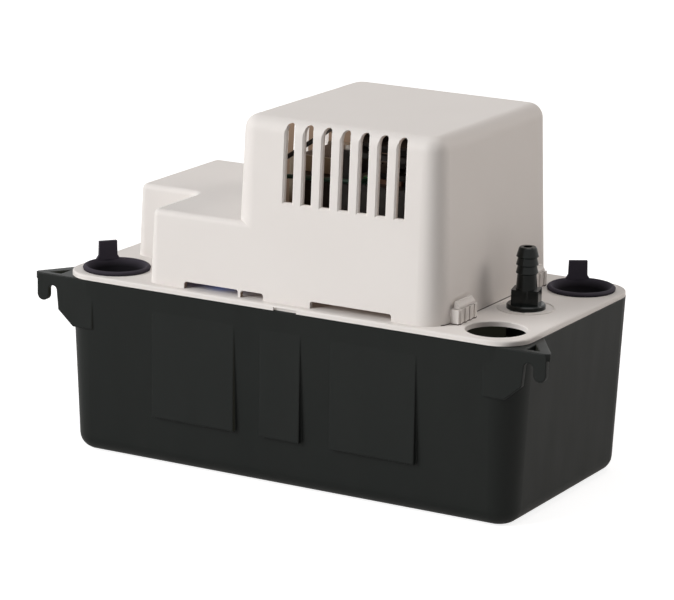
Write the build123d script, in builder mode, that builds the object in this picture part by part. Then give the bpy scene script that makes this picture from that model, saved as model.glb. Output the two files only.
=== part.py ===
from build123d import *
import os
from math import atan2, cos, degrees, hypot, radians, sin, sqrt, tan

# Half-gallon condensate pump: an open black tank with hanging hooks, a pale lid that carries
# a louvred motor cover, a vertical shaded-pole motor, a centrifugal pump that hangs in the
# tank, a float with its two switches, a barbed check valve and two inlet plugs.
# Frame: origin under the middle of the object, X along its length, Y to the back, Z up.

os.makedirs("parts", exist_ok=True)

# ---------------------------------------------------------------- driving dimensions, mm
# Lid
lid_length = 247.0
lid_width = 128.0
lid_corner = 16.0
lid_thickness = 2.5
lid_edge_round = 0.9
skirt_depth = 6.0
skirt_wall = 1.6
skirt_clearance = 0.5
inlet_radius = 14.3
inlet_inset_x = 20.2         # from the lid's end to the inlet's axis
inlet_inset_y = 19.4         # from the lid's side to the inlet's axis
inlet_round = 0.5
inlet_relief = 0.3
pry_notch = (-3.8, 8.7)
pry_notch_depth = 1.5
pry_notch_height = 1.6
boss_radius = 3.5
shaft_opening = 8.0
guide_ring_radius = 13.9     # raised ring round the check valve
guide_ring_width = 0.7
guide_ring_height = 0.3
lock_mark_radius = 11.9
lock_mark_angle = 60.0

# Tank
tank_height = 87.5
tank_overhang_x = 0.3        # the rim stands out from the lid's ends
tank_inset_y = 1.1           # and in from the lid's sides
tank_draft = 2.6             # degrees
tank_corner = 15.0
tank_base_radius = 8.0
tank_wall = 2.4
tank_floor = 2.6
pad_spans = [(-71.5, -26.0), (-11.5, 10.2), (26.5, 71.5)]
pad_drop = 10.5              # from the rim to the pads' top
pad_height = 52.6
pad_depth = 3.0

# Hanging hooks, in the plane of the front wall
hook_thickness = 2.4
hook_drop = 0.2              # the hook's top lies this far below the rim
hook_height = 24.5
hook_root = 17.8             # from the rim's end inwards
gusset_inset = 6.8
gusset_height = 7.4
slot_inner_foot = 1.7        # from the rim's end outwards
slot_inner_top = 2.8
slot_outer = 7.4
slot_drop = 5.8
prong_width = 6.4
prong_height = 13.8
shoulder_round = 2.2
web_thickness = 3.4
web_reach = 1.2              # past the prong
web_back = 25.4
web_opening_inset = 2.0
web_opening_length = 7.0
web_opening_depth = 9.9

# Motor cover
cover_left = -31.3
cover_right = 81.4
cover_front_inset = 4.3      # from the lid's front edge
cover_back_inset = 6.3
shaft_headroom = 1.9         # from the shaft to the cover's roof
cover_corner = 12.0
cover_draft = 2.23           # degrees
cover_wall = 2.4
cover_top_round = 7.0
low_front_left = -76.1
low_back_left = -110.8
low_step_y = -15.9
low_height = 36.1
low_corner = 5.0
low_top_round = 3.0
low_inner_round = 1.0
louvre_pitch = 9.85
louvre_width = 4.4
louvre_count = 7
louvre_first_x = -0.5
louvre_foot_height = 48.2    # above the deck
louvre_drop = 1.2            # from the cover's top to the louvres' heads
louvre_bevel = 0.8
louvre_depth = 12.0
side_louvre_count = 6
vent_height = 3.4
vent_round = 1.2
vent_spans = [(-55.4, -25.7), (-24.3, -11.9), (13.4, 56.6)]

# Snap latches: a tongue on the lid stands in a loop on the cover
latch_width = 18.6
latch_height = 7.0
latch_reach = 4.2
latch_skin = 1.2
latch_rib = 0.5
latch_rib_width = 1.6
latch_ribs = 4
tongue_thickness = 1.2
tongue_clearance = 0.3
tongue_stand_off = 1.1       # from the cover's wall to the tongue
tongue_top = 10.4
nose_reach = 1.5
nose_height = 2.0
latch_ys = (-39.2, 33.5)
left_latch_y = 21.0

# Discharge check valve
valve_x = 97.0
valve_y = -2.0
valve_flange_radius = 9.25
valve_flange = 2.3
valve_boss = 13.0
valve_boss_depth = 9.6
valve_boss_height = 9.3
valve_boss_turn = 15.0       # degrees
barb_radius = 5.3
barb_neck = 4.5
barrel_radius = 5.1
barb_pitch = 3.9
barb_count = 3
barb_low_z = 17.1            # above the deck
valve_height = 29.4
valve_bore = 2.1
spigot_radius = 7.0
spigot_depth = 24.0
spigot_fit = 0.05
chamber_radius = 4.2
ball_radius = 3.5
seat_thickness = 3.0
seat_hole = 2.4
ball_lift = 4.0
ring_section = 0.93
lug_thickness = 2.2
lug_reach = 2.2
lug_width = 6.5
lug_clearance = 0.3

# Inlet plugs
plug_flange_radius = 16.5
plug_flange = 2.0
plug_fit = 0.2
plug_foot_radius = 13.3
plug_skirt = 9.0
plug_wall = 1.6
plug_lip = 1.6
plug_dish_foot = 6.5         # radius of the dish's floor
plug_dish_depth = 6.0
tab_width = 9.3
tab_height = 8.6
tab_thickness = 2.0
tab_place = 14.4             # from the plug's axis
tab_round = 1.2
tab_flare = 1.4
plug_tab_angle_left = 141.0   # degrees round the plug, from +X
plug_tab_angle_right = 123.0

# Motor
motor_x = 34.0
motor_y = -1.0
motor_post_height = 14.0
motor_post_radius = 5.5
screw_span_x = 40.0
screw_span_y = 48.0
bracket_length = 50.0
bracket_width = 58.0
bracket_plate = 2.5
bracket_leg = 12.5
end_window_y = 19.0          # windows in the brackets, from the shaft
end_window_length = 24.0
end_window_width = 11.0
side_window_x = 16.5
side_window_length = 9.0
side_window_width = 20.0
plate_window_round = 3.0
core_height = 26.0
core_length = 74.0
core_width = 60.0
core_right_rim = 26.0        # from the shaft to the core's right edge
limb_width = 14.0
window_length = 12.0
window_width = 38.0
rotor_radius = 19.0
air_gap = 0.5
rotor_length = 28.0
shaft_radius = 3.0
shaft_fit = 0.03
bearing_radius = 6.0
bearing_length = 10.0
bearing_fit = 0.02
hub_radius = 9.0
coil_growth = 8.0
bobbin_wall = 1.2
bobbin_flange = 1.5
bobbin_fit = 0.2
shading_bar = 2.0
motor_screw_radius = 1.95
motor_screw_head = 3.6
motor_head_height = 2.4
screw_clearance = 0.1
small_screw_radius = 1.5
small_screw_head = 2.8
small_head_height = 2.0
fan_radius = 29.0
fan_blades = 7
fan_gap = 3.0
fan_depth = 9.0
fan_disc = 1.5
shaft_end = 0.5              # of the shaft past the fan

# Pump below the lid
column_flange = 3.0
flange_margin = 6.0          # past the screws' axes
column_radius = 17.0
column_wall = 2.5
column_foot_radius = 24.0
column_window_width = 15.0
column_window_ends = 11.0    # from the column's ends to its windows
volute_top = 30.0
volute_radius = 31.0
volute_roof = 3.0
chamber_bore = 25.0
volute_base = 11.5
volute_cover_thickness = 2.5
intake_radius = 9.0
outlet_z = 19.5
outlet_bore = 4.0
outlet_spigot = 6.0
tube_radius = 6.2
tube_bend = 13.0
socket_radius = 9.0
impeller_radius = 22.5
vane_count = 6
screen_radius = 14.0
screen_wall = 1.5
screen_foot = 3.9
screen_slots = 12
slinger_radius = 9.0

# Float and switches
pivot_x = -30.0
pivot_height = 7.0           # above the deck
float_x = -66.0
float_z = 27.0
float_length = 44.0
float_width = 56.0
float_height = 24.0
arm_width = 6.0
arm_thickness = 3.5
pin_radius = 1.5
pin_fit = 0.05
cam_arm = 9.0
cam_pin_reach = 15.25
lever_hinge_x = -64.0
lever_length = 26.5
lever_thickness = 0.6
lever_gap = 0.3
lever_width = 8.0
switch_offset = 11.0
switch_width = 10.0
switch_length = 20.0
switch_height = 14.0
switch_foot_height = 12.0    # above the deck
plunger_radius = 1.2
plunger_offset = 7.0
plunger_gap = 0.2
cheek_wall = 2.0
bracket_left_foot = 46.0     # from the pivot to the foot's screw
bracket_right_foot = 9.0

# Electrical
nut_radius = 6.0
nut_length = 22.0
nut_flutes = 12
nut_socket = 9.0
nut_x = -41.0
nut_gap = 3.7                # from the cover's outer face
lead_radius = 1.1
lead_bend = 5.0
lead_gap = 0.3
terminal_radius = 3.2        # ring terminals of the ground lead
terminal_tail = 6.0
terminal_plate = 0.8
ground_spot_x = 10.0         # from the shaft
ground_spot_y = 7.0          # from the core's front
bushing_x = -85.0
bushing_height = 13.0        # above the deck
bushing_radius = 6.5
cord_hole = 4.0

# ---------------------------------------------------------------- levels and places
deck = tank_height + lid_thickness
lean = tan(radians(tank_draft))
cover_lean = tan(radians(cover_draft))
tank_length = lid_length + 2 * tank_overhang_x
tank_width = lid_width - 2 * tank_inset_y
inlet_x = lid_length / 2 - inlet_inset_x
inlet_y = lid_width / 2 - inlet_inset_y
cover_front = cover_front_inset - lid_width / 2
cover_back = lid_width / 2 - cover_back_inset
pivot_z = deck + pivot_height
switch_foot = deck + switch_foot_height
bushing_z = deck + bushing_height
core_foot = deck + motor_post_height + bracket_plate + bracket_leg
core_head = core_foot + core_height
upper_plate_top = core_head + bracket_leg + bracket_plate
fan_foot = upper_plate_top + fan_gap
shaft_top = fan_foot + fan_depth + shaft_end
cover_height = shaft_top + shaft_headroom + cover_wall - deck
louvre_head_height = cover_height - louvre_drop
shaft_foot = volute_base + 1.5
motor_screw_spots = [(motor_x + side_x * screw_span_x / 2, motor_y + side_y * screw_span_y / 2)
                     for side_x in (-1, 1) for side_y in (-1, 1)]
screw_hole = motor_screw_radius + screw_clearance
small_screw_hole = small_screw_radius + 0.05


def save(part, name):
    """Label one finished piece and write its STEP file."""
    part.label = name
    export_step(part, f"parts/{name}.step")


# ---------------------------------------------------------------- tank
hook_plane = tank_width / 2 - 0.4
rim_end = tank_length / 2
hook_top = tank_height - hook_drop
hook_foot = hook_top - hook_height
slot_top = tank_height - slot_drop
prong_foot = tank_height - prong_height
gusset_z = hook_foot + gusset_height
prong_inner = rim_end + slot_outer
hook_reach = prong_inner + prong_width
slot_end_radius = (slot_outer - slot_inner_top) / 2

with BuildPart() as hooks:
    with BuildSketch(Plane.XZ.offset(hook_plane - hook_thickness)) as hook_sketch:
        with BuildLine():
            Polyline(
                (rim_end - hook_root, hook_foot), (rim_end - gusset_inset, hook_foot),
                (rim_end + slot_inner_foot, gusset_z), (rim_end + slot_inner_top, slot_top),
                (prong_inner, slot_top), (prong_inner, prong_foot), (hook_reach, prong_foot),
                (hook_reach, hook_top), (rim_end - hook_root, hook_top), close=True,
            )
        make_face()
        slot_ends = hook_sketch.vertices().filter_by_position(Axis.Y, slot_top - 0.1, slot_top + 0.1)
        fillet(slot_ends, radius=slot_end_radius - 0.15)
        prong_tips = hook_sketch.vertices().filter_by_position(Axis.Y, prong_foot - 0.1, prong_foot + 0.1)
        fillet(prong_tips, radius=prong_width / 2 - 0.1)
        shoulder = hook_sketch.vertices().filter_by(
            lambda v: v.X > hook_reach - 0.1 and v.Y > hook_top - 0.1)
        fillet(shoulder, radius=shoulder_round)
    extrude(amount=hook_thickness)
    # A flat web joins the plate's top to the end wall, with an opening beside the wall.
    with BuildSketch(Plane.XY.offset(hook_top - web_thickness)):
        end_wall = rim_end - tank_wall
        with BuildLine():
            Polyline(
                (end_wall, web_back - hook_plane), (rim_end, web_back - hook_plane),
                (hook_reach + web_reach, hook_thickness - hook_plane),
                (hook_reach + web_reach, 1.0 - hook_plane), (hook_reach - 1.0, -hook_plane),
                (rim_end - hook_root, -hook_plane), (rim_end - hook_root, hook_thickness - hook_plane),
                (end_wall, web_back / 2 - hook_plane), close=True,
            )
        make_face()
        opening_front = hook_thickness + 0.6 - hook_plane
        with BuildLine():
            Polyline(
                (rim_end + web_opening_inset, opening_front),
                (rim_end + web_opening_inset + web_opening_length, opening_front),
                (rim_end + web_opening_inset, opening_front + web_opening_depth), close=True,
            )
        make_face(mode=Mode.SUBTRACT)
    extrude(amount=web_thickness)
    mirror(about=Plane.YZ)

with BuildPart() as tank_hollow:
    with BuildSketch(Plane((0, 0, tank_height), x_dir=(1, 0, 0), z_dir=(0, 0, -1))):
        RectangleRounded(tank_length - 2 * tank_wall, tank_width - 2 * tank_wall, tank_corner - tank_wall)
    extrude(amount=tank_height - tank_floor, taper=tank_draft)
    fillet(tank_hollow.faces().sort_by(Axis.Z)[0].edges(), radius=tank_base_radius - tank_wall)

with BuildPart() as tank:
    with BuildSketch(Plane((0, 0, tank_height), x_dir=(1, 0, 0), z_dir=(0, 0, -1))):
        RectangleRounded(tank_length, tank_width, tank_corner)
    extrude(amount=tank_height, taper=tank_draft)
    fillet(tank.faces().sort_by(Axis.Z)[0].edges(), radius=tank_base_radius)
    add(hooks.part)
    pad_top = tank_height - pad_drop
    pad_face = tank_width / 2 - pad_drop * lean
    with BuildSketch(Plane.XZ.offset(pad_face - pad_depth)):
        for left, right in pad_spans:
            with Locations(((left + right) / 2, pad_top - pad_height / 2)):
                Rectangle(right - left, pad_height)
    extrude(amount=pad_depth)
    add(tank_hollow.part, mode=Mode.SUBTRACT)
save(tank.part, "tank")

# ---------------------------------------------------------------- lid
skirt_length = tank_length - 2 * (tank_wall + skirt_clearance)
skirt_width = tank_width - 2 * (tank_wall + skirt_clearance)
skirt_corner = tank_corner - tank_wall - skirt_clearance
inlet_places = [(-inlet_x, -inlet_y), (inlet_x, -inlet_y), (inlet_x, inlet_y)]
arm_slot_left = pivot_x - 18.0
arm_slot_right = pivot_x - 0.5
arm_slot_x = (arm_slot_left + arm_slot_right) / 2
arm_slot_length = arm_slot_right - arm_slot_left
bracket_foot = 1.5
bracket_screw_spots = [(pivot_x - bracket_left_foot, motor_y), (pivot_x + bracket_right_foot, motor_y)]
tongue_x = cover_right + tongue_stand_off
left_tongue_x = low_back_left - tongue_stand_off
tongue_width = latch_width - 2 * latch_skin - 2 * tongue_clearance


def tongue(x, y, outward):
    """One latch tongue with its nose, standing on the deck at x, y."""
    nose_foot = deck + latch_height + tongue_clearance
    outer = x + outward * tongue_thickness
    with BuildPart(mode=Mode.PRIVATE) as piece:
        with BuildSketch(Plane.XZ.offset(-y)):
            with BuildLine():
                Polyline(
                    (x, deck), (outer, deck), (outer, nose_foot), (outer + outward * nose_reach, nose_foot),
                    (outer + outward * nose_reach, nose_foot + nose_height / 2),
                    (outer + outward * nose_reach / 3, nose_foot + nose_height),
                    (outer, deck + tongue_top), (x, deck + tongue_top), close=True,
                )
            make_face()
        extrude(amount=tongue_width / 2, both=True)
    return piece.part


with BuildPart() as tank_lid:
    with BuildSketch(Plane.XY.offset(tank_height)):
        RectangleRounded(lid_length, lid_width, lid_corner)
    extrude(amount=lid_thickness)
    fillet(tank_lid.faces().sort_by(Axis.Z)[-1].outer_wire().edges(), radius=lid_edge_round)
    # Skirt that centres the lid in the tank's mouth
    with BuildSketch(Plane.XY.offset(tank_height - skirt_depth)):
        RectangleRounded(skirt_length, skirt_width, skirt_corner)
        RectangleRounded(skirt_length - 2 * skirt_wall, skirt_width - 2 * skirt_wall,
                         skirt_corner - skirt_wall, mode=Mode.SUBTRACT)
        with Locations(*inlet_places):
            Circle(inlet_radius + inlet_relief, mode=Mode.SUBTRACT)
    extrude(amount=skirt_depth)
    # Motor posts on the deck, and bosses below it for the switch bracket's screws
    with BuildSketch(Plane.XY.offset(deck)):
        with Locations(*motor_screw_spots):
            Circle(motor_post_radius)
    extrude(amount=motor_post_height)
    with BuildSketch(Plane.XY.offset(tank_height - skirt_depth)):
        with Locations(*bracket_screw_spots):
            Circle(boss_radius)
    extrude(amount=skirt_depth)
    # Raised guide ring and lock mark round the check valve
    with BuildSketch(Plane.XY.offset(deck)):
        with Locations((valve_x, valve_y)):
            Circle(guide_ring_radius)
            Circle(guide_ring_radius - guide_ring_width, mode=Mode.SUBTRACT)
        with BuildLine():
            with Locations((valve_x, valve_y)):
                outer_mark = CenterArc((0, 0), lock_mark_radius, -lock_mark_angle / 2, lock_mark_angle)
                inner_mark = CenterArc((0, 0), lock_mark_radius - guide_ring_width, -lock_mark_angle / 2,
                                       lock_mark_angle)
                Line(outer_mark @ 0, inner_mark @ 0)
                Line(outer_mark @ 1, inner_mark @ 1)
        make_face()
    extrude(amount=guide_ring_height)
    # Inlets, shaft, float arm and check valve openings
    with BuildSketch(Plane.XY.offset(tank_height)):
        with Locations(*inlet_places):
            Circle(inlet_radius)
        with Locations((motor_x, motor_y)):
            Circle(shaft_opening)
        with Locations((arm_slot_x, motor_y)):
            Rectangle(arm_slot_length, arm_width + 3.0)
        with Locations((valve_x, valve_y)):
            Circle(spigot_radius + lug_clearance)
    extrude(amount=lid_thickness, mode=Mode.SUBTRACT)
    inlet_rims = tank_lid.edges().filter_by(GeomType.CIRCLE).filter_by(
        lambda e: abs(e.radius - inlet_radius) < 0.01 and e.center().Z > deck - 0.01)
    fillet(inlet_rims, radius=inlet_round)
    with BuildSketch(Plane.XY.offset(tank_height)):
        with Locations(*motor_screw_spots):
            Circle(screw_hole)
    extrude(amount=lid_thickness + motor_post_height, mode=Mode.SUBTRACT)
    with BuildSketch(Plane.XY.offset(tank_height - skirt_depth)):
        with Locations(*bracket_screw_spots):
            Circle(small_screw_hole)
    extrude(amount=skirt_depth + lid_thickness, mode=Mode.SUBTRACT)
    # Bayonet notches, a quarter turn from where the lugs lock
    with BuildSketch(Plane.XY.offset(tank_height)):
        with Locations((valve_x, valve_y)):
            Rectangle(lug_width + 1.0, 2 * (spigot_radius + lug_reach + lug_clearance))
    extrude(amount=lid_thickness, mode=Mode.SUBTRACT)
    # Pry recess in the front edge
    with BuildSketch(Plane.XY.offset(tank_height)):
        with Locations(((pry_notch[0] + pry_notch[1]) / 2, -lid_width / 2)):
            Rectangle(pry_notch[1] - pry_notch[0], 2 * pry_notch_depth)
    extrude(amount=pry_notch_height, mode=Mode.SUBTRACT)
    for latch_y in latch_ys:
        add(tongue(tongue_x, latch_y, 1))
    add(tongue(left_tongue_x, left_latch_y, -1))
save(tank_lid.part, "tank_lid")

# ---------------------------------------------------------------- motor cover
cover_length = cover_right - cover_left
cover_width = cover_back - cover_front
cover_mid_x = (cover_right + cover_left) / 2
cover_mid_y = (cover_back + cover_front) / 2


def high_box(inset, height, corner, top_round):
    """The tall motor housing, drawn in by inset and tapered towards its top."""
    with BuildPart(mode=Mode.PRIVATE) as piece:
        with BuildSketch(Plane.XY.offset(deck)):
            with Locations((cover_mid_x, cover_mid_y)):
                RectangleRounded(cover_length - 2 * inset, cover_width - 2 * inset, corner)
        extrude(amount=height, taper=cover_draft)
        fillet(piece.faces().sort_by(Axis.Z)[-1].edges(), radius=top_round)
    return piece.part


def low_box(inset, height, corner, top_round):
    """The low L-shaped switch housing, which runs into the tall one at its right."""
    with BuildPart(mode=Mode.PRIVATE) as piece:
        with BuildSketch(Plane.XY.offset(deck)) as plan:
            with BuildLine():
                Polyline(
                    (low_front_left + inset, cover_front + inset), (cover_mid_x, cover_front + inset),
                    (cover_mid_x, cover_back - inset), (low_back_left + inset, cover_back - inset),
                    (low_back_left + inset, low_step_y + inset), (low_front_left + inset, low_step_y + inset),
                    close=True,
                )
            make_face()
            fillet(plan.vertices().filter_by(lambda v: v.X < cover_mid_x - 1), radius=corner)
        extrude(amount=height, taper=cover_draft)
        fillet(piece.faces().sort_by(Axis.Z)[-1].edges().filter_by(
            lambda e: e.center().X < cover_mid_x - 3), radius=top_round)
    return piece.part


def wall_plane(x, y, along, inward):
    """The outer face of one tapered wall: X runs along it, Y up it and Z into the housing."""
    slope = radians(cover_draft)
    into = (inward[0] * cos(slope), inward[1] * cos(slope), -sin(slope))
    return Plane((x, y, deck), x_dir=along, z_dir=into)


def louvre_row(places, wall):
    """Slots with square feet, round heads and bevelled rims, cut in from a wall's outer face."""
    neck = louvre_head_height - louvre_width / 2
    with BuildPart(mode=Mode.PRIVATE) as cutter:
        for grow, depth, slant in ((0.0, louvre_depth, 0.0), (louvre_bevel, louvre_bevel, 45.0)):
            with BuildSketch(wall):
                foot = louvre_foot_height - grow
                with Locations(*[(place, (foot + neck) / 2) for place in places]):
                    Rectangle(louvre_width + 2 * grow, neck - foot)
                with Locations(*[(place, neck) for place in places]):
                    Circle(louvre_width / 2 + grow)
            extrude(amount=depth, taper=slant)
    return cutter.part


def latch_loop(x, y, outward):
    """The cover's half of one latch: a ribbed loop that stands out from the wall."""
    rib_pitch = latch_width / latch_ribs
    with BuildPart(mode=Mode.PRIVATE) as piece:
        with BuildSketch(Plane.XY.offset(deck)):
            with Locations((x + outward * (latch_reach - 1.0) / 2, y)):
                Rectangle(latch_reach + 1.0, latch_width)
            for i in range(latch_ribs):
                with Locations((x + outward * latch_reach, y + (i - (latch_ribs - 1) / 2) * rib_pitch)):
                    Rectangle(2 * latch_rib, latch_rib_width)
        extrude(amount=latch_height)
    return piece.part


louvre_xs = [louvre_first_x + louvre_pitch * i for i in range(louvre_count)]
side_middle = (side_louvre_count - 1) / 2
side_louvre_ys = [motor_y + louvre_pitch * (i - side_middle) for i in range(side_louvre_count)]
loop_slots = [(tongue_x + tongue_thickness / 2, y) for y in latch_ys]
loop_slots.append((left_tongue_x - tongue_thickness / 2, left_latch_y))

with BuildPart() as motor_cover:
    add(high_box(0, cover_height, cover_corner, cover_top_round))
    add(low_box(0, low_height, low_corner, low_top_round))
    for latch_y in latch_ys:
        add(latch_loop(cover_right, latch_y, 1))
    add(latch_loop(low_back_left, left_latch_y, -1))
    add(high_box(cover_wall, cover_height - cover_wall, cover_corner - cover_wall,
                 cover_top_round - cover_wall), mode=Mode.SUBTRACT)
    add(low_box(cover_wall, low_height - cover_wall, low_corner - cover_wall, low_inner_round),
        mode=Mode.SUBTRACT)
    add(louvre_row([-x for x in louvre_xs], wall_plane(0, cover_front, (-1, 0, 0), (0, 1))),
        mode=Mode.SUBTRACT)
    add(louvre_row(louvre_xs, wall_plane(0, cover_back, (1, 0, 0), (0, -1))), mode=Mode.SUBTRACT)
    add(louvre_row(side_louvre_ys, wall_plane(cover_left, 0, (0, 1, 0), (1, 0))), mode=Mode.SUBTRACT)
    # Air vents along the front foot
    for left, right in vent_spans:
        with BuildSketch(Plane.XZ.offset(-cover_front - 2 * cover_wall)) as vent:
            with Locations(((left + right) / 2, deck + vent_height / 2)):
                Rectangle(right - left, vent_height)
            fillet(vent.vertices().group_by(Axis.Y)[-1], radius=vent_round)
        extrude(amount=4 * cover_wall, mode=Mode.SUBTRACT)
    # The loops' slots, which the lid's tongues stand in
    with BuildSketch(Plane.XY.offset(deck)):
        with Locations(*loop_slots):
            Rectangle(tongue_thickness + 2 * tongue_clearance, latch_width - 2 * latch_skin)
    extrude(amount=latch_height, mode=Mode.SUBTRACT)
    # Hole for the cord bushing in the back wall of the low box
    with BuildSketch(Plane.XZ.offset(-cover_back)):
        with Locations((bushing_x, bushing_z)):
            Circle(bushing_radius + 0.1)
    extrude(amount=6.0, mode=Mode.SUBTRACT)
save(motor_cover.part, "motor_cover")

# ---------------------------------------------------------------- inlet plugs
def plug_body(x, y):
    """A rubber cup that fills the inlet, with a deep dish inside a round lip."""
    fit = inlet_radius - plug_fit
    foot = deck - plug_skirt
    top = deck + plug_flange
    dish = top - plug_dish_depth
    lip = plug_flange_radius - plug_lip
    with BuildPart(mode=Mode.PRIVATE) as piece:
        with BuildSketch(Plane.XZ.offset(-y)):
            with BuildLine():
                dish_floor = Line((x, dish), (x + plug_dish_foot, dish))
                dish_wall = Spline(dish_floor @ 1, (x + 0.78 * lip, dish + 0.48 * plug_dish_depth),
                                   (x + lip, top), tangents=[(1, 0.25), (1, 0.9)])
                lip_arc = ThreePointArc(dish_wall @ 1, (x + plug_flange_radius - 0.35, top - 0.45),
                                        (x + plug_flange_radius, deck + plug_flange / 2))
                Polyline(
                    lip_arc @ 1, (x + plug_flange_radius - 0.3, deck), (x + fit, deck),
                    (x + fit, tank_height + 0.4), (x + plug_foot_radius, tank_height - 0.6),
                    (x + plug_foot_radius - 0.3, foot), (x + plug_foot_radius - plug_wall, foot),
                    (x + plug_foot_radius - plug_wall, dish - 0.6), (x + plug_dish_foot, dish - plug_wall),
                    (x, dish - plug_wall), (x, dish),
                )
            make_face()
        revolve(axis=Axis((x, y, 0), (0, 0, 1)))
    return piece.part


def pull_tab(x, y, angle):
    """The upright tab that stands at the lip and is gripped to pull the plug."""
    out = (cos(radians(angle)), sin(radians(angle)), 0)
    foot = deck + plug_flange - 0.6
    top = deck + plug_flange + tab_height
    with BuildPart(mode=Mode.PRIVATE) as piece:
        with BuildSketch(Plane((x + tab_place * out[0], y + tab_place * out[1], 0),
                               x_dir=(-out[1], out[0], 0), z_dir=out)) as tab:
            with BuildLine():
                Polyline(
                    (-tab_width / 2 - tab_flare, foot), (-tab_width / 2, foot + 2.2),
                    (-tab_width / 2 + 0.2, top), (tab_width / 2 - 0.2, top),
                    (tab_width / 2, foot + 2.2), (tab_width / 2 + tab_flare, foot), close=True,
                )
            make_face()
            fillet(tab.vertices().filter_by(lambda v: v.Z > top - 0.1), radius=tab_round)
        extrude(amount=tab_thickness / 2, both=True)
    return piece.part


with BuildPart() as inlet_plug_left:
    add(plug_body(-inlet_x, -inlet_y))
    add(pull_tab(-inlet_x, -inlet_y, plug_tab_angle_left))
save(inlet_plug_left.part, "inlet_plug_left")

with BuildPart() as inlet_plug_right:
    add(plug_body(inlet_x, inlet_y))
    add(pull_tab(inlet_x, inlet_y, plug_tab_angle_right))
save(inlet_plug_right.part, "inlet_plug_right")

# ---------------------------------------------------------------- discharge check valve
spigot_foot = deck - spigot_depth
chamber_top = spigot_foot + seat_thickness + 2 * ball_radius + ball_lift + 2.0
ball_rise = sqrt(ball_radius ** 2 - seat_hole ** 2)
groove_z = spigot_foot + 6.0
valve_axis = Axis((valve_x, valve_y, 0), (0, 0, 1))

with BuildPart() as check_valve_body:
    with BuildSketch(Plane.XZ.offset(-valve_y)):
        with BuildLine():
            low_barb = deck + barb_low_z
            barbs = []
            for i in range(barb_count):
                edge = low_barb + i * barb_pitch
                barbs += [(valve_x + barb_neck, edge - 0.6), (valve_x + barb_radius, edge)]
            groove_floor = spigot_radius - 2 * ring_section
            Polyline(
                (valve_x + valve_bore, chamber_top), (valve_x + valve_bore, deck + valve_height),
                (valve_x + 3.7, deck + valve_height), (valve_x + 4.2, deck + valve_height - 0.5),
                *reversed(barbs),
                (valve_x + barrel_radius, deck + valve_boss_height - 0.6),
                (valve_x + barrel_radius, deck + valve_flange),
                (valve_x + valve_flange_radius - 0.6, deck + valve_flange),
                (valve_x + valve_flange_radius, deck + valve_flange - 0.6),
                (valve_x + valve_flange_radius, deck), (valve_x + spigot_radius, deck),
                (valve_x + spigot_radius, groove_z + ring_section + 0.1),
                (valve_x + groove_floor, groove_z + ring_section + 0.1),
                (valve_x + groove_floor, groove_z - ring_section - 0.1),
                (valve_x + spigot_radius, groove_z - ring_section - 0.1),
                (valve_x + spigot_radius, spigot_foot), (valve_x + chamber_radius, spigot_foot),
                (valve_x + chamber_radius, chamber_top), close=True,
            )
        make_face()
    revolve(axis=valve_axis)
    # Flat-sided grip on the flange
    with BuildSketch(Plane.XY.offset(deck + valve_flange)) as grip:
        with Locations(Location((valve_x, valve_y, 0), (0, 0, valve_boss_turn))):
            Rectangle(valve_boss, valve_boss_depth)
        fillet(grip.vertices(), radius=0.6)
        with Locations((valve_x, valve_y)):
            Circle(valve_bore + 1.0, mode=Mode.SUBTRACT)
    extrude(amount=valve_boss_height - valve_flange)
    # Bayonet lugs below the lid
    with BuildSketch(Plane.XY.offset(tank_height - lug_thickness - 0.1)):
        with Locations((valve_x, valve_y)):
            Rectangle(2 * (spigot_radius + lug_reach), lug_width)
            Circle(spigot_radius + lug_reach, mode=Mode.INTERSECT)
            Circle(spigot_radius - 0.5, mode=Mode.SUBTRACT)
    extrude(amount=lug_thickness)
save(check_valve_body.part, "check_valve_body")

with BuildPart() as check_valve_seat:
    with BuildSketch(Plane.XY.offset(spigot_foot)):
        with Locations((valve_x, valve_y)):
            Circle(chamber_radius - bearing_fit)
            Circle(seat_hole, mode=Mode.SUBTRACT)
    extrude(amount=seat_thickness)
save(check_valve_seat.part, "check_valve_seat")

with BuildPart() as check_ball:
    with Locations((valve_x, valve_y, spigot_foot + seat_thickness + ball_rise + 0.02)):
        Sphere(ball_radius)
save(check_ball.part, "check_ball")

with BuildPart() as check_valve_o_ring:
    with Locations((valve_x, valve_y, groove_z)):
        Torus(spigot_radius - ring_section + 0.03, ring_section - 0.05)
save(check_valve_o_ring.part, "check_valve_o_ring")

# ---------------------------------------------------------------- motor
lower_plate = deck + motor_post_height
upper_plate = core_head + bracket_leg
limb_x = motor_x + core_right_rim - core_length
limb_right = limb_x + limb_width
core_left_share = motor_x + core_right_rim - core_length / 2
shade_y = rotor_radius + air_gap + 2.5
shade_xs = (-5.0, 6.0)

with BuildPart() as stator_core:
    with BuildSketch(Plane.XY.offset(core_foot)):
        with Locations((core_left_share, motor_y)):
            RectangleRounded(core_length, core_width, 3.0)
        with Locations((motor_x, motor_y)):
            Circle(rotor_radius + air_gap, mode=Mode.SUBTRACT)
            for side in (-1, 1):
                with Locations(*[(x, side * shade_y) for x in shade_xs]):
                    Rectangle(shading_bar + 0.1, shading_bar + 0.1, mode=Mode.SUBTRACT)
        with Locations(*motor_screw_spots):
            Circle(screw_hole, mode=Mode.SUBTRACT)
        with Locations((limb_right + window_length / 2, motor_y)):
            Rectangle(window_length, window_width, mode=Mode.SUBTRACT)
    extrude(amount=core_height)
save(stator_core.part, "stator_core")

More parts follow.
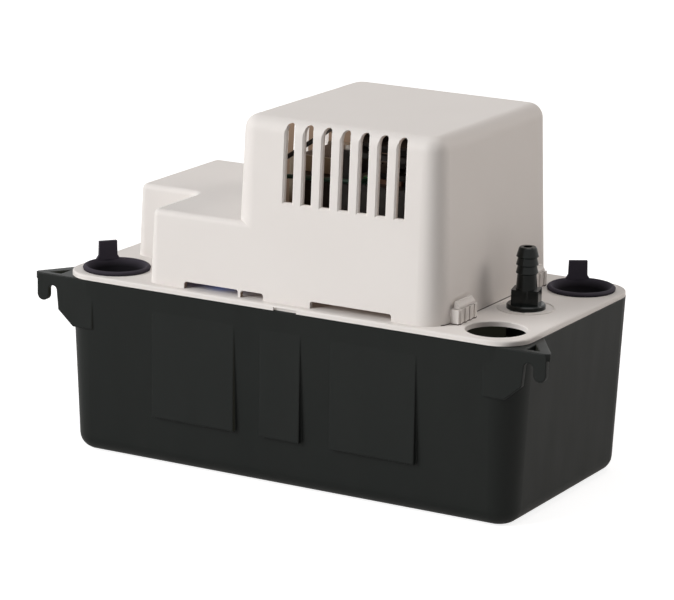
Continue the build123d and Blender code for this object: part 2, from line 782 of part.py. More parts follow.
with BuildPart() as shading_rings:
    for side in (-1, 1):
        with BuildSketch(Plane.XZ.offset(-(motor_y + side * shade_y - shading_bar / 2))):
            ring_mid = motor_x + (shade_xs[0] + shade_xs[1]) / 2
            span = shade_xs[1] - shade_xs[0]
            with Locations((ring_mid, core_foot + core_height / 2)):
                Rectangle(span + shading_bar, core_height + 2 * shading_bar)
                Rectangle(span - shading_bar, core_height, mode=Mode.SUBTRACT)
        extrude(amount=-shading_bar)
save(shading_rings.part, "shading_rings")

limb_mid_x = limb_x + limb_width / 2
core_mid_z = core_foot + core_height / 2
bobbin_length = window_width - 2 * bobbin_fit
tube_inner_x = limb_width + 2 * bobbin_fit
tube_inner_z = core_height + 2 * bobbin_fit
tube_outer_x = tube_inner_x + 2 * bobbin_wall
tube_outer_z = tube_inner_z + 2 * bobbin_wall
flange_x = tube_outer_x + 2 * (coil_growth - bobbin_wall - 0.5)
flange_z = tube_outer_z + 2 * (coil_growth - bobbin_wall - 0.5)

with BuildPart() as coil_bobbin:
    with BuildSketch(Plane.XZ.offset(-motor_y - bobbin_length / 2)):
        with Locations((limb_mid_x, core_mid_z)):
            RectangleRounded(flange_x, flange_z, 2.0)
    extrude(amount=bobbin_length)
    with BuildSketch(Plane.XZ.offset(-motor_y - bobbin_length / 2 + bobbin_flange)):
        with Locations((limb_mid_x, core_mid_z)):
            RectangleRounded(flange_x + 2, flange_z + 2, 2.0)
            Rectangle(tube_outer_x, tube_outer_z, mode=Mode.SUBTRACT)
    extrude(amount=bobbin_length - 2 * bobbin_flange, mode=Mode.SUBTRACT)
    with BuildSketch(Plane.XZ.offset(-motor_y - bobbin_length / 2)):
        with Locations((limb_mid_x, core_mid_z)):
            Rectangle(tube_inner_x, tube_inner_z)
    extrude(amount=bobbin_length, mode=Mode.SUBTRACT)
save(coil_bobbin.part, "coil_bobbin")

with BuildPart() as stator_coil:
    with BuildSketch(Plane.XZ.offset(-motor_y - bobbin_length / 2 + bobbin_flange)):
        with Locations((limb_mid_x, core_mid_z)):
            RectangleRounded(flange_x - 1.0, flange_z - 1.0, 4.0)
            Rectangle(tube_outer_x, tube_outer_z, mode=Mode.SUBTRACT)
    extrude(amount=bobbin_length - 2 * bobbin_flange)
save(stator_coil.part, "stator_coil")


def bracket_frame(plate_z, leg_z, hub_z, hub_height):
    """An end bracket: a windowed plate with four legs and a bearing hub in its middle."""
    with BuildPart(mode=Mode.PRIVATE) as piece:
        with BuildSketch(Plane.XY.offset(plate_z)):
            with Locations((motor_x, motor_y)):
                RectangleRounded(bracket_length, bracket_width, 5.0)
                with GridLocations(0, 2 * end_window_y, 1, 2):
                    RectangleRounded(end_window_length, end_window_width, plate_window_round,
                                     mode=Mode.SUBTRACT)
                with GridLocations(2 * side_window_x, 0, 2, 1):
                    RectangleRounded(side_window_length, side_window_width, plate_window_round,
                                     mode=Mode.SUBTRACT)
        extrude(amount=bracket_plate)
        with BuildSketch(Plane.XY.offset(leg_z)):
            with Locations(*motor_screw_spots):
                Circle(4.0)
        extrude(amount=bracket_leg)
        with BuildSketch(Plane.XY.offset(hub_z)):
            with Locations((motor_x, motor_y)):
                Circle(hub_radius)
        extrude(amount=hub_height)
        with BuildSketch(Plane.XY.offset(plate_z - 2 * bracket_leg)):
            with Locations((motor_x, motor_y)):
                Circle(bearing_radius + bearing_fit)
            with Locations(*motor_screw_spots):
                Circle(screw_hole)
        extrude(amount=4 * bracket_leg, mode=Mode.SUBTRACT)
    return piece.part


with BuildPart() as lower_bearing_bracket:
    add(bracket_frame(lower_plate, lower_plate + bracket_plate, lower_plate, bearing_length))
save(lower_bearing_bracket.part, "lower_bearing_bracket")

with BuildPart() as upper_bearing_bracket:
    add(bracket_frame(upper_plate, core_head, upper_plate_top - bearing_length, bearing_length))
save(upper_bearing_bracket.part, "upper_bearing_bracket")


def sleeve_bearing(foot):
    """A plain bronze sleeve pressed into its hub."""
    with BuildPart(mode=Mode.PRIVATE) as piece:
        with BuildSketch(Plane.XY.offset(foot)):
            with Locations((motor_x, motor_y)):
                Circle(bearing_radius)
                Circle(shaft_radius + shaft_fit, mode=Mode.SUBTRACT)
        extrude(amount=bearing_length)
    return piece.part


with BuildPart() as lower_bearing:
    add(sleeve_bearing(lower_plate))
save(lower_bearing.part, "lower_bearing")

with BuildPart() as upper_bearing:
    add(sleeve_bearing(upper_plate_top - bearing_length))
save(upper_bearing.part, "upper_bearing")


def screws(places, head_z, head_up, shank, length, head, head_height):
    """A set of round-headed screws, drawn head up or head down along Z."""
    with BuildPart(mode=Mode.PRIVATE) as piece:
        for spot in places:
            with BuildSketch(Plane.XY.offset(head_z)):
                with Locations(spot):
                    Circle(head)
            extrude(amount=head_up * head_height)
            with BuildSketch(Plane.XY.offset(head_z)):
                with Locations(spot):
                    Circle(shank)
            extrude(amount=-head_up * length)
    return piece.part


with BuildPart() as motor_screws:
    add(screws(motor_screw_spots, upper_plate_top, 1, motor_screw_radius, upper_plate_top - deck - 4.0,
               motor_screw_head, motor_head_height))
save(motor_screws.part, "motor_screws")

with BuildPart() as motor_shaft:
    with BuildSketch(Plane.XY.offset(shaft_foot)):
        with Locations((motor_x, motor_y)):
            Circle(shaft_radius)
    extrude(amount=shaft_top - shaft_foot)
    chamfer(motor_shaft.edges().filter_by(GeomType.CIRCLE), length=0.4)
save(motor_shaft.part, "motor_shaft")

with BuildPart() as rotor:
    rotor_foot = core_mid_z - rotor_length / 2
    with BuildSketch(Plane.XY.offset(rotor_foot)):
        with Locations((motor_x, motor_y)):
            Circle(rotor_radius)
    extrude(amount=rotor_length)
    with BuildSketch(Plane.XY.offset(rotor_foot - 2.5)):
        with Locations((motor_x, motor_y)):
            Circle(rotor_radius - 2.0)
            Circle(rotor_radius - 7.0, mode=Mode.SUBTRACT)
    extrude(amount=rotor_length + 5.0)
    with BuildSketch(Plane.XY.offset(rotor_foot)):
        with Locations((motor_x, motor_y)):
            Circle(shaft_radius + bearing_fit)
    extrude(amount=rotor_length, mode=Mode.SUBTRACT)
save(rotor.part, "rotor")

with BuildPart() as cooling_fan:
    with BuildSketch(Plane.XY.offset(fan_foot)):
        with Locations((motor_x, motor_y)):
            Circle(fan_radius)
    extrude(amount=fan_disc)
    with BuildSketch(Plane.XY.offset(fan_foot)):
        with Locations((motor_x, motor_y)):
            Circle(shaft_radius + 3.0)
            with PolarLocations(0, fan_blades):
                with Locations((fan_radius / 2 + 3.0, 0)):
                    Rectangle(fan_radius - 8.0, 1.6)
    extrude(amount=fan_depth)
    with BuildSketch(Plane.XY.offset(fan_foot)):
        with Locations((motor_x, motor_y)):
            Circle(shaft_radius + bearing_fit)
    extrude(amount=fan_depth, mode=Mode.SUBTRACT)
save(cooling_fan.part, "cooling_fan")

# ---------------------------------------------------------------- pump
column_top = tank_height
foot_screw_radius = column_radius + 3.7
rim_screw_radius = (chamber_bore + volute_radius) / 2


def ring_spots(radius, angles):
    """Places round the motor's axis, at the given angles in degrees."""
    return [(motor_x + radius * cos(radians(a)), motor_y + radius * sin(radians(a))) for a in angles]


with BuildPart() as pump_column:
    with BuildSketch(Plane.XY.offset(column_top - column_flange)):
        with Locations((motor_x, motor_y)):
            RectangleRounded(screw_span_x + 2 * flange_margin, screw_span_y + 2 * flange_margin,
                             flange_margin)
        with Locations(*motor_screw_spots):
            Circle(screw_hole, mode=Mode.SUBTRACT)
    extrude(amount=column_flange)
    with BuildSketch(Plane.XY.offset(volute_top)):
        with Locations((motor_x, motor_y)):
            Circle(column_foot_radius)
            with PolarLocations(foot_screw_radius, 3):
                Circle(small_screw_hole, mode=Mode.SUBTRACT)
    extrude(amount=column_flange)
    with BuildSketch(Plane.XY.offset(volute_top)):
        with Locations((motor_x, motor_y)):
            Circle(column_radius)
    extrude(amount=column_top - volute_top)
    with BuildSketch(Plane.XY.offset(volute_top)):
        with Locations((motor_x, motor_y)):
            Circle(column_radius - column_wall)
    extrude(amount=column_top - volute_top, mode=Mode.SUBTRACT)
    for plane in (Plane.XZ, Plane.YZ):
        middle = motor_x if plane is Plane.XZ else motor_y
        away = -motor_y if plane is Plane.XZ else motor_x
        with BuildSketch(plane.offset(away - column_foot_radius)):
            with Locations((middle, (volute_top + column_top) / 2)):
                RectangleRounded(column_window_width, column_top - volute_top - 2 * column_window_ends, 3.0)
        extrude(amount=2 * column_foot_radius, mode=Mode.SUBTRACT)
save(pump_column.part, "pump_column")

with BuildPart() as column_screws:
    add(screws(motor_screw_spots, column_top - column_flange, -1, motor_screw_radius, 6.5,
               motor_screw_head, motor_head_height))
save(column_screws.part, "column_screws")

foot_spots = ring_spots(foot_screw_radius, (0, 120, 240))
with BuildPart() as housing_screws:
    add(screws(foot_spots, volute_top + column_flange, 1, small_screw_radius, column_flange + 2.0,
               small_screw_head, small_head_height))
save(housing_screws.part, "housing_screws")

with BuildPart() as shaft_slinger:
    with BuildSketch(Plane.XY.offset(column_top - 14.0)):
        with Locations((motor_x, motor_y)):
            Circle(slinger_radius)
            Circle(shaft_radius + bearing_fit, mode=Mode.SUBTRACT)
    extrude(amount=2.0)
save(shaft_slinger.part, "shaft_slinger")

outlet_reach = 42.0
outlet_start = motor_x + 20.0
with BuildPart() as volute:
    with BuildSketch(Plane.XY.offset(volute_base)):
        with Locations((motor_x, motor_y)):
            Circle(volute_radius)
    extrude(amount=volute_top - volute_base)
    fillet(volute.edges().filter_by(GeomType.CIRCLE).sort_by(Axis.Z)[-1], radius=3.0)
    with BuildSketch(Plane.YZ.offset(outlet_start)):
        with Locations((valve_y, outlet_z)):
            Circle(outlet_spigot + 1.6)
    extrude(amount=motor_x + outlet_reach - 8.0 - outlet_start)
    with BuildSketch(Plane.YZ.offset(outlet_start)):
        with Locations((valve_y, outlet_z)):
            Circle(outlet_spigot)
    extrude(amount=motor_x + outlet_reach - outlet_start)
    with BuildSketch(Plane.XY.offset(volute_base)):
        with Locations((motor_x, motor_y)):
            Circle(chamber_bore)
    extrude(amount=volute_top - volute_roof - volute_base, mode=Mode.SUBTRACT)
    with BuildSketch(Plane.YZ.offset(outlet_start)):
        with Locations((valve_y, outlet_z)):
            Circle(outlet_bore)
    extrude(amount=outlet_reach, mode=Mode.SUBTRACT)
    with BuildSketch(Plane.XY.offset(volute_base)):
        with Locations((motor_x, motor_y)):
            Circle(shaft_radius + 2.0)
    extrude(amount=volute_top - volute_base, mode=Mode.SUBTRACT)
    with BuildSketch(Plane.XY.offset(volute_top - 2.2)):
        with Locations(*foot_spots):
            Circle(small_screw_hole)
    extrude(amount=2.2, mode=Mode.SUBTRACT)
    with BuildSketch(Plane.XY.offset(volute_base)):
        with Locations((motor_x, motor_y)):
            with PolarLocations(rim_screw_radius, 3, start_angle=60):
                Circle(small_screw_hole)
    extrude(amount=10.0, mode=Mode.SUBTRACT)
save(volute.part, "volute")

cover_foot = volute_base - volute_cover_thickness
with BuildPart() as volute_cover:
    with BuildSketch(Plane.XY.offset(cover_foot)):
        with Locations((motor_x, motor_y)):
            Circle(volute_radius)
            Circle(intake_radius, mode=Mode.SUBTRACT)
            with PolarLocations(rim_screw_radius, 3, start_angle=60):
                Circle(small_screw_hole, mode=Mode.SUBTRACT)
    extrude(amount=volute_cover_thickness)
save(volute_cover.part, "volute_cover")

rim_spots = ring_spots(rim_screw_radius, (60, 180, 300))
with BuildPart() as volute_screws:
    add(screws(rim_spots, cover_foot, -1, small_screw_radius, volute_cover_thickness + 9.0, small_screw_head,
               small_head_height))
save(volute_screws.part, "volute_screws")

with BuildPart() as intake_screen:
    with BuildSketch(Plane.XY.offset(screen_foot)):
        with Locations((motor_x, motor_y)):
            Circle(screen_radius)
            Circle(screen_radius - screen_wall, mode=Mode.SUBTRACT)
    extrude(amount=cover_foot - screen_foot)
    with BuildSketch(Plane.XY.offset(screen_foot)):
        with Locations((motor_x, motor_y)):
            with PolarLocations(screen_radius, screen_slots):
                Rectangle(5.0, 2.4)
    extrude(amount=3.4, mode=Mode.SUBTRACT)
save(intake_screen.part, "intake_screen")

with BuildSketch() as vane:
    with BuildLine():
        outer_arc = ThreePointArc((5.0, 0.0), (13.0, 5.5), (impeller_radius - 1.0, 3.0))
        inner_arc = ThreePointArc((impeller_radius - 0.8, 1.2), (13.0, 3.7), (5.0, -1.8))
        Line(outer_arc @ 1, inner_arc @ 0)
        Line(inner_arc @ 1, outer_arc @ 0)
    make_face()

with BuildPart() as impeller:
    disc_z = volute_top - volute_roof - 4.0
    vane_foot = volute_base + 2.0
    with BuildSketch(Plane.XY.offset(disc_z)):
        with Locations((motor_x, motor_y)):
            Circle(impeller_radius)
    extrude(amount=2.0)
    with BuildSketch(Plane.XY.offset(vane_foot)):
        with Locations((motor_x, motor_y)):
            Circle(shaft_radius + 3.5)
            with PolarLocations(0, vane_count):
                add(vane.sketch)
    extrude(amount=disc_z - vane_foot)
    with BuildSketch(Plane.XY.offset(vane_foot)):
        with Locations((motor_x, motor_y)):
            Circle(shaft_radius + bearing_fit)
    extrude(amount=disc_z + 2.0 - vane_foot, mode=Mode.SUBTRACT)
save(impeller.part, "impeller")

tube_start = motor_x + outlet_reach - 7.7
cup_foot = spigot_foot - 4.0
with BuildPart() as discharge_tube:
    with BuildLine() as tube_path:
        FilletPolyline(
            (motor_x + outlet_reach + 1.0, valve_y, outlet_z), (valve_x, valve_y, outlet_z),
            (valve_x, valve_y, cup_foot), radius=tube_bend)
    with BuildSketch(Plane.YZ.offset(motor_x + outlet_reach + 1.0)):
        with Locations((valve_y, outlet_z)):
            Circle(tube_radius)
    sweep(path=tube_path.wires()[0])
    with BuildSketch(Plane.YZ.offset(tube_start)):
        with Locations((valve_y, outlet_z)):
            Circle(outlet_spigot + 1.8)
    extrude(amount=motor_x + outlet_reach + 1.0 - tube_start)
    with BuildSketch(Plane.XY.offset(cup_foot)):
        with Locations((valve_x, valve_y)):
            Circle(socket_radius)
    extrude(amount=tank_height - cup_foot)
    with BuildSketch(Plane.XY.offset(tank_height - lug_thickness - 1.8)):
        with Locations((valve_x, valve_y)):
            Circle(spigot_radius + lug_reach + 2.0)
    extrude(amount=lug_thickness + 1.8)
    with BuildSketch(Plane.YZ.offset(motor_x + outlet_reach + 1.0)):
        with Locations((valve_y, outlet_z)):
            Circle(outlet_bore)
    sweep(path=tube_path.wires()[0], mode=Mode.SUBTRACT)
    with BuildSketch(Plane.YZ.offset(tube_start)):
        with Locations((valve_y, outlet_z)):
            Circle(outlet_spigot + spigot_fit)
    extrude(amount=motor_x + outlet_reach + 0.3 - tube_start, mode=Mode.SUBTRACT)
    with BuildSketch(Plane.YZ.offset(tube_start)):
        with Locations((valve_y, outlet_z)):
            Circle(outlet_bore)
    extrude(amount=motor_x + outlet_reach + 1.0 - tube_start, mode=Mode.SUBTRACT)
    with BuildSketch(Plane.XY.offset(cup_foot)):
        with Locations((valve_x, valve_y)):
            Circle(outlet_bore)
    extrude(amount=5.0, mode=Mode.SUBTRACT)
    with BuildSketch(Plane.XY.offset(spigot_foot - 1.5)):
        with Locations((valve_x, valve_y)):
            Circle(spigot_radius + spigot_fit)
    extrude(amount=spigot_depth + 1.5, mode=Mode.SUBTRACT)
    with BuildSketch(Plane.XY.offset(tank_height - lug_thickness - 0.3)):
        with Locations((valve_x, valve_y)):
            Circle(spigot_radius + lug_reach + 0.3)
    extrude(amount=lug_thickness + 0.3, mode=Mode.SUBTRACT)
save(discharge_tube.part, "discharge_tube")

# ---------------------------------------------------------------- float and its switches
float_top = float_z + float_height / 2
arm_angle = degrees(atan2(pivot_z - float_top, pivot_x - float_x))
arm_length = hypot(pivot_z - float_top, pivot_x - float_x)
pocket_depth = 9.0
cheek_y = arm_width / 2 + 1.0
switch_sides = {"pump": -1, "safety": 1}
plunger_x = lever_hinge_x + plunger_offset
hinge_z = pivot_z + pin_radius + lever_gap + lever_thickness / 2

with BuildPart() as float_pivot_pin:
    with BuildSketch(Plane.XZ.offset(-motor_y - cheek_y - cheek_wall - 1.0)):
        with Locations((pivot_x, pivot_z)):
            Circle(pin_radius)
    extrude(amount=2 * (cheek_y + cheek_wall + 1.0))
save(float_pivot_pin.part, "float_pivot_pin")

with BuildPart() as float_arm:
    with BuildSketch(Plane.XZ.offset(-motor_y - arm_width / 2)):
        with Locations(Location((float_x, float_top, 0), (0, 0, arm_angle))):
            with Locations((arm_length / 2, 0)):
                Rectangle(arm_length, arm_thickness)
        with Locations((float_x, float_top - pocket_depth / 2 + 0.5)):
            Rectangle(8.0, pocket_depth + 3.0)
        with Locations((pivot_x, pivot_z)):
            Circle(4.0)
        with Locations((pivot_x - cam_arm / 2, pivot_z)):
            Rectangle(cam_arm, pin_radius * 2)
        with Locations((pivot_x, pivot_z)):
            Circle(pin_radius + pin_fit, mode=Mode.SUBTRACT)
    extrude(amount=arm_width)
    with BuildSketch(Plane.XZ.offset(-motor_y - cam_pin_reach)):
        with Locations((pivot_x - cam_arm, pivot_z)):
            Circle(pin_radius)
    extrude(amount=2 * cam_pin_reach)
save(float_arm.part, "float_arm")

with BuildPart() as float_block:
    with Locations((float_x, motor_y, float_z)):
        Box(float_length, float_width, float_height)
    fillet(float_block.edges().filter_by(Axis.Z), radius=8.0)
    fillet(float_block.faces().filter_by(Axis.Z).edges(), radius=3.0)
    with BuildSketch(Plane.XY.offset(float_top - pocket_depth - 1.4)):
        with Locations((float_x, motor_y)):
            Rectangle(8.4, arm_width + 0.4)
    extrude(amount=pocket_depth + 3.0, mode=Mode.SUBTRACT)
    # The pocket opens where the arm slopes up out of it
    with BuildSketch(Plane.XZ.offset(-motor_y - arm_width / 2 - 0.2)):
        with Locations(Location((float_x, float_top, 0), (0, 0, arm_angle))):
            with Locations((arm_length / 2, 0)):
                Rectangle(arm_length, arm_thickness + 0.6)
    extrude(amount=arm_width + 0.4, mode=Mode.SUBTRACT)
save(float_block.part, "float")

tower_left = lever_hinge_x - 6.0
tower_right = tower_left + switch_length
tower_top = switch_foot + switch_height - 2.0
switch_mid_x = (tower_left + tower_right) / 2 + 2.0
bracket_middle = (bracket_screw_spots[0][0] + bracket_screw_spots[1][0]) / 2
bracket_base_length = bracket_screw_spots[1][0] - bracket_screw_spots[0][0] + 8.0
with BuildPart() as float_bracket:
    with BuildSketch(Plane.XY.offset(deck)):
        with Locations((bracket_middle, motor_y)):
            RectangleRounded(bracket_base_length, 2 * (cheek_y + cheek_wall), 3.0)
        with Locations((arm_slot_x, motor_y)):
            Rectangle(arm_slot_length, arm_width + 2.0, mode=Mode.SUBTRACT)
        with Locations(*bracket_screw_spots):
            Circle(small_screw_hole, mode=Mode.SUBTRACT)
    extrude(amount=bracket_foot)
    for side in (-1, 1):
        with BuildSketch(Plane.XZ.offset(-motor_y - side * cheek_y)):
            with BuildLine():
                Polyline(
                    (tower_left, deck), (tower_left, tower_top), (tower_right, tower_top),
                    (tower_right, deck + 4.0), (pivot_x - 4.0, deck + 4.0), (pivot_x - 4.0, pivot_z + 4.0),
                    (pivot_x + 4.0, pivot_z + 4.0), (pivot_x + 4.0, deck), close=True,
                )
            make_face()
            with Locations((pivot_x, pivot_z)):
                Circle(pin_radius + bearing_fit, mode=Mode.SUBTRACT)
            with Locations((tower_left + 6.0, tower_top - 5.0), (tower_right - 4.0, tower_top - 3.0)):
                Circle(1.25, mode=Mode.SUBTRACT)
        extrude(amount=-side * cheek_wall)
    with BuildSketch(Plane.YZ.offset(tower_left)):
        with Locations((motor_y, (deck + tower_top) / 2)):
            Rectangle(2 * cheek_y, tower_top - deck)
    extrude(amount=1.5)
save(float_bracket.part, "float_bracket")


def switch_body(side):
    """A snap-action switch body with hinge cheeks below and two terminals on top."""
    near = cheek_y + cheek_wall
    mid_y = motor_y + side * (near + switch_width / 2)
    with BuildPart(mode=Mode.PRIVATE) as piece:
        with BuildSketch(Plane.XZ.offset(-mid_y)):
            with Locations((switch_mid_x, switch_foot + switch_height / 2)):
                Rectangle(switch_length, switch_height)
        extrude(amount=switch_width / 2, both=True)
        with BuildSketch(Plane.XZ.offset(-mid_y)):
            with Locations((lever_hinge_x + 1.0, (hinge_z + switch_foot) / 2 - 0.6)):
                Rectangle(4.0, switch_foot - hinge_z + 1.2)
        extrude(amount=switch_width / 2, both=True)
        with BuildSketch(Plane.XZ.offset(-mid_y)):
            with Locations((lever_hinge_x + 1.0, (hinge_z + switch_foot) / 2 - 0.6)):
                Rectangle(4.4, switch_foot - hinge_z + 1.2)
        extrude(amount=lever_width / 2 + 0.2, both=True, mode=Mode.SUBTRACT)
        with BuildSketch(Plane.XZ.offset(-mid_y)):
            with Locations((lever_hinge_x, hinge_z)):
                Circle(0.55)
            with Locations((tower_left + 6.0, tower_top - 5.0), (tower_right - 4.0, tower_top - 3.0)):
                Circle(1.25)
        extrude(amount=switch_width / 2 + 1.0, both=True, mode=Mode.SUBTRACT)
        with BuildSketch(Plane.XY.offset(switch_foot)):
            with Locations((plunger_x, mid_y)):
                Circle(plunger_radius + pin_fit)
        extrude(amount=5.5, mode=Mode.SUBTRACT)
        for offset_x in (-5.0, 5.0):
            with BuildSketch(Plane.XY.offset(switch_foot + switch_height)):
                with Locations((switch_mid_x + offset_x, mid_y)):
                    Rectangle(4.8, 0.8)
            extrude(amount=6.0)
    return piece.part


def switch_lever(side):
    """The spring-steel blade under one switch, with its hinge barrel and pin."""
    mid_y = motor_y + side * (cheek_y + cheek_wall + switch_width / 2)
    with BuildPart(mode=Mode.PRIVATE) as piece:
        with BuildSketch(Plane.XZ.offset(-mid_y)):
            with Locations((lever_hinge_x + lever_length / 2, hinge_z)):
                Rectangle(lever_length, lever_thickness)
            with Locations((lever_hinge_x, hinge_z)):
                Circle(0.9)
        extrude(amount=lever_width / 2, both=True)
        with BuildSketch(Plane.XZ.offset(-mid_y)):
            with Locations((lever_hinge_x, hinge_z)):
                Circle(0.5)
        extrude(amount=switch_width / 2 - 0.1, both=True)
    return piece.part


def switch_plunger(side):
    """The round button between the lever and the switch's contacts."""
    mid_y = motor_y + side * (cheek_y + cheek_wall + switch_width / 2)
    with BuildPart(mode=Mode.PRIVATE) as piece:
        with BuildSketch(Plane.XY.offset(hinge_z + lever_thickness / 2 + plunger_gap)):
            with Locations((plunger_x, mid_y)):
                Circle(plunger_radius)
        extrude(amount=6.0)
    return piece.part


for switch_name, side in switch_sides.items():
    with BuildPart() as body:
        add(switch_body(side))
    save(body.part, f"{switch_name}_switch")
    with BuildPart() as lever:
        add(switch_lever(side))
    save(lever.part, f"{switch_name}_switch_lever")
    with BuildPart() as plunger:
        add(switch_plunger(side))
    save(plunger.part, f"{switch_name}_switch_plunger")

with BuildPart() as switch_screws:
    screw_reach = cheek_y + cheek_wall + switch_width
    screw_spots = ((tower_left + 6.0, tower_top - 5.0), (tower_right - 4.0, tower_top - 3.0))
    with BuildSketch(Plane.XZ.offset(-motor_y - screw_reach)):
        with Locations(*screw_spots):
            Circle(1.2)
    extrude(amount=2 * screw_reach)
    with BuildSketch(Plane.XZ.offset(-motor_y + screw_reach)):
        with Locations(*screw_spots):
            Circle(2.4)
    extrude(amount=1.6)
save(switch_screws.part, "switch_screws")

with BuildPart() as bracket_screw_pair:
    for spot, washer in zip(bracket_screw_spots, (0.0, terminal_plate)):
        add(screws([spot], deck + bracket_foot + washer, 1, small_screw_radius, 9.0, small_screw_head,
                   small_head_height))
save(bracket_screw_pair.part, "bracket_screws")

# ---------------------------------------------------------------- electrical
nut_z = deck + nut_radius + 0.3
nut_front = cover_front + nut_gap
nut_back = nut_front + nut_length
with BuildPart() as wire_nut:
    with BuildSketch(Plane.XY.offset(nut_z)):
        with BuildLine():
            Polyline(
                (nut_x, nut_back), (nut_x + nut_radius, nut_back), (nut_x + nut_radius - 0.5, nut_back - 8.0),
                (nut_x + 0.72 * nut_radius, nut_front + 3.0), (nut_x + 0.55 * nut_radius, nut_front),
                (nut_x, nut_front), close=True,
            )
        make_face()
        with BuildLine():
            Polyline(
                (nut_x, nut_back), (nut_x + nut_radius - 1.4, nut_back),
                (nut_x + nut_radius - 2.4, nut_back - nut_socket), (nut_x, nut_back - nut_socket), close=True,
            )
        make_face(mode=Mode.SUBTRACT)
    revolve(axis=Axis((nut_x, 0, nut_z), (0, 1, 0)))
    # Grip flutes round the closed end
    with BuildSketch(Plane.XZ.offset(-nut_front)):
        with Locations((nut_x, nut_z)):
            with PolarLocations(nut_radius + 0.1, nut_flutes):
                Circle(0.7)
    extrude(amount=-0.6 * nut_length, mode=Mode.SUBTRACT)
save(wire_nut.part, "wire_nut")


def lead(points):
    """One insulated wire, swept along straight runs with rounded bends."""
    with BuildPart(mode=Mode.PRIVATE) as piece:
        with BuildLine() as run:
            FilletPolyline(*points, radius=lead_bend)
        with BuildSketch(Plane(origin=points[0], z_dir=Vector(*points[1]) - Vector(*points[0]))):
            Circle(lead_radius)
        sweep(path=run.wires()[0])
    return piece.part


coil_left = limb_mid_x - flange_x / 2 + 0.5
coil_front = motor_y - bobbin_length / 2 + bobbin_flange
coil_top = core_mid_z + flange_z / 2 - 0.5
core_front = motor_y - core_width / 2
terminal_y = motor_y - cheek_y - cheek_wall - switch_width / 2
terminal_z = switch_foot + switch_height + 3.0
black_y = core_front - 1.6 * lead_bend
black_z = coil_top + 2.8 * lead_bend
white_z = nut_z + 4 * lead_bend
green_x = core_left_share - core_length / 2 - lead_bend
green_y = core_front - 0.4 * lead_bend
ground_spot = (motor_x - ground_spot_x, core_front + ground_spot_y)
bracket_spot = bracket_screw_spots[1]

with BuildPart() as lead_black:
    add(lead([
        (switch_mid_x + 0.39 * switch_length, terminal_y, terminal_z),
        (nut_x + nut_radius, terminal_y, terminal_z),
        (coil_left + 0.2 * lead_bend, black_y, terminal_z + 1.2 * lead_bend),
        (coil_left + 1.2 * lead_bend, black_y, coil_top + 0.2 * lead_bend),
        (limb_mid_x + 2.2 * lead_bend, black_y, black_z),
        (limb_mid_x + 0.8 * lead_bend, coil_front + 1.6 * lead_bend, black_z),
        (limb_mid_x + 0.8 * lead_bend, coil_front + 1.6 * lead_bend, coil_top + lead_gap),
    ]))
save(lead_black.part, "lead_black")

with BuildPart() as lead_white:
    add(lead([
        (nut_x, nut_back - nut_socket + 0.4, nut_z), (nut_x, nut_back + 1.6 * lead_bend, nut_z),
        (nut_x + 0.4 * lead_bend, coil_front + 0.8 * lead_bend, white_z),
        (coil_left - lead_gap, coil_front + 0.8 * lead_bend, white_z),
    ]))
save(lead_white.part, "lead_white")


def ring_terminal(spot, foot):
    """A ring with a forward tail, clamped under one screw's head."""
    with BuildPart(mode=Mode.PRIVATE) as piece:
        with BuildSketch(Plane.XY.offset(foot)):
            with Locations(spot):
                Circle(terminal_radius)
            with Locations((spot[0], spot[1] - terminal_tail / 2)):
                Rectangle(2.4, terminal_tail)
            with Locations(spot):
                Circle(small_screw_hole, mode=Mode.SUBTRACT)
        extrude(amount=terminal_plate)
    return piece.part


with BuildPart() as lead_green:
    upper_z = core_head + terminal_plate / 2 + lead_radius
    lower_z = deck + bracket_foot + terminal_plate / 2 + lead_radius
    add(ring_terminal(ground_spot, core_head))
    add(ring_terminal(bracket_spot, deck + bracket_foot))
    add(lead([
        (ground_spot[0], ground_spot[1] - 3.4, upper_z), (ground_spot[0], green_y, upper_z),
        (green_x, green_y, upper_z - 2.0), (green_x, green_y, lower_z),
        (bracket_spot[0], bracket_spot[1] - 3.4, lower_z),
    ]))
save(lead_green.part, "lead_green")

with BuildPart() as ground_screw:
    add(screws([ground_spot], core_head + terminal_plate, 1, small_screw_radius, terminal_plate,
               small_screw_head, small_head_height))
save(ground_screw.part, "ground_screw")

wall_y = cover_back - (bushing_z - deck) * cover_lean
with BuildPart() as cord_bushing:
    with BuildSketch(Plane.YZ.offset(bushing_x)):
        with BuildLine():
            flange_gap = 0.5
            Polyline(
                (wall_y + 2.2, bushing_z + cord_hole), (wall_y + 2.2, bushing_z + bushing_radius + 1.0),
                (wall_y + 1.4, bushing_z + bushing_radius + 2.2),
                (wall_y + flange_gap, bushing_z + bushing_radius + 2.2),
                (wall_y + flange_gap, bushing_z + bushing_radius),
                (wall_y - cover_wall - flange_gap, bushing_z + bushing_radius),
                (wall_y - cover_wall - flange_gap, bushing_z + bushing_radius + 1.6),
                (wall_y - cover_wall - 2.2, bushing_z + bushing_radius + 1.6),
                (wall_y - cover_wall - 2.2, bushing_z + cord_hole), close=True,
            )
        make_face()
    revolve(axis=Axis((bushing_x, 0, bushing_z), (0, 1, 0)))
save(cord_bushing.part, "cord_bushing")
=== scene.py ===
# %% [markdown]
# # A half-gallon condensate pump
# The construction comes in as a fixed frame of named parts at their real size, and those parts
# already have every shape of the object. This notebook sets the camera and the light, then gives
# each part a procedural finish that stays with the part when it moves.

# %% Load the frame
from math import pi, radians

import bmesh
import bpy
from mathutils import Matrix, Vector

